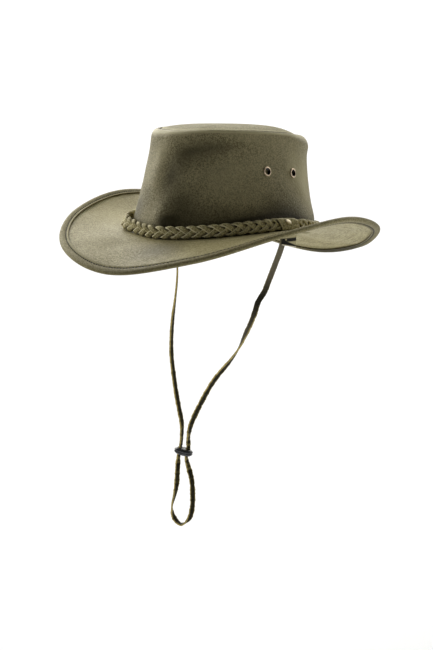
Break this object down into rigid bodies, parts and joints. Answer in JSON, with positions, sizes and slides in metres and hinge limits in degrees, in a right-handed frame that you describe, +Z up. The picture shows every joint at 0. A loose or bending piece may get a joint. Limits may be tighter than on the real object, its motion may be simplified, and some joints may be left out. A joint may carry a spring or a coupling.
{
  "type": "leather hat",
  "caption": "Wide-brimmed leather hat with an oval flat-topped crown, bound brim edge, braided band, vent eyelets and a leather chin strap with a slider.",
  "frame": {"origin": "middle of the head opening, near the level of the brim's top there: where the hat sits on a head", "axes": "+Z up out of the crown; the wearer looks along -Y; +X is the wearer's left, the side with the band's keeper"},
  "size_m": [0.3039, 0.3374, 0.4435],
  "materials": {
    "crown_leather": "oiled olive-brown leather with a fine pebbled grain, matt with a soft sheen",
    "brim_leather": "oiled olive-tan leather, matt",
    "binding_leather": "thin darker leather strip, stitched, satin",
    "band_leather": "plaited leather laces with lighter cut edges, satin",
    "strap_leather": "flat dark leather lace with lighter cut edges",
    "tag_fabric": "dark woven tape, bare",
    "copper": "aged copper-coloured eyelets",
    "brass": "pale polished rivet",
    "black_plastic": "dark grey satin plastic"
  },
  "bodies": {
    "root": {"crown_side": "crown_leather", "crown_tip": "crown_leather", "brim": "brim_leather", "brim_binding": "binding_leather", "hat_band": "band_leather", "band_keeper": "band_leather", "keeper_rivet": "brass", "size_tag": "tag_fabric", "eyelet_left_front": "copper", "eyelet_left_back": "copper", "eyelet_right_front": "copper", "eyelet_right_back": "copper", "chin_cord": "strap_leather", "cord_slider": "black_plastic"}
  },
  "joints": []
}
